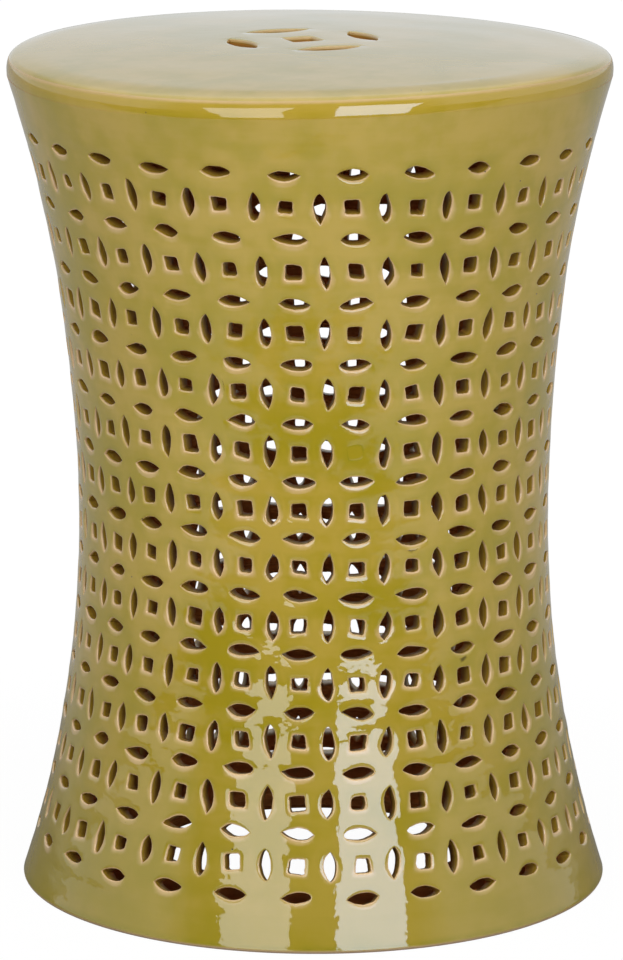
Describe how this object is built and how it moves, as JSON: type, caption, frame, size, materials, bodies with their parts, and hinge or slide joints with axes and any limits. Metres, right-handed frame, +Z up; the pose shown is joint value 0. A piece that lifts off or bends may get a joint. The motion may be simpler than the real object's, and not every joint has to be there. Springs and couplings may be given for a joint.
{
  "type": "ceramic garden stool",
  "caption": "Hourglass drum stool in glazed ceramic, its wall pierced all round with a coin lattice, with a slightly domed round seat and an open foot.",
  "frame": {"origin": "on the floor, under the centre of the seat", "axes": "+Z up along the stool's axis; -Y is the front, which one column of squares faces; +X is to the right seen from the front"},
  "size_m": [0.3266, 0.3266, 0.46],
  "materials": {
    "glaze": "glossy citron glaze, thin and tan on edges",
    "bare_clay": "matt fired clay, left bare inside"
  },
  "bodies": {
    "root": {"seat_top": "glaze", "pierced_wall": "glaze", "foot_ring": "glaze", "seat_joint_coil": "bare_clay", "foot_joint_coil": "bare_clay"}
  },
  "joints": []
}
